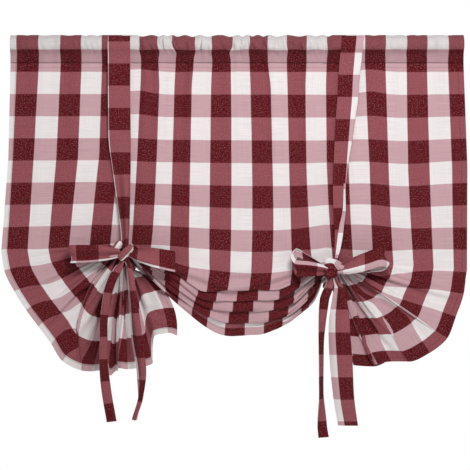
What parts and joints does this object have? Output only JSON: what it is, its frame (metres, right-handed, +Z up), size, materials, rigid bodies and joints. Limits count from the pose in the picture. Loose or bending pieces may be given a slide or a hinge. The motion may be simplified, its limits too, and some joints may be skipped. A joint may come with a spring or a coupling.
{
  "type": "tie-up curtain valance",
  "caption": "Gathered check window valance on a rod pocket, lifted into a swag and two fans by straps tied in bows.",
  "frame": {"origin": "middle of the rod pocket's top edge", "axes": "+X along the top edge to the right as seen from the room, -Y towards the room, +Z up"},
  "size_m": [1.05, 0.1141, 0.903],
  "materials": {
    "check_cloth": "matt yarn-dyed cotton in a burgundy and white check",
    "strap_cloth": "matt yarn-dyed cotton, the same cloth in narrow straps"
  },
  "bodies": {
    "root": {"panel": "check_cloth", "rod_pocket": "check_cloth", "left_front_strap": "strap_cloth", "left_back_strap": "strap_cloth", "left_knot": "strap_cloth", "left_loop_1": "strap_cloth", "left_loop_2": "strap_cloth", "left_tail_1": "strap_cloth", "left_tail_2": "strap_cloth", "right_front_strap": "strap_cloth", "right_back_strap": "strap_cloth", "right_knot": "strap_cloth", "right_loop_1": "strap_cloth", "right_loop_2": "strap_cloth", "right_tail_1": "strap_cloth", "right_tail_2": "strap_cloth"}
  },
  "joints": []
}
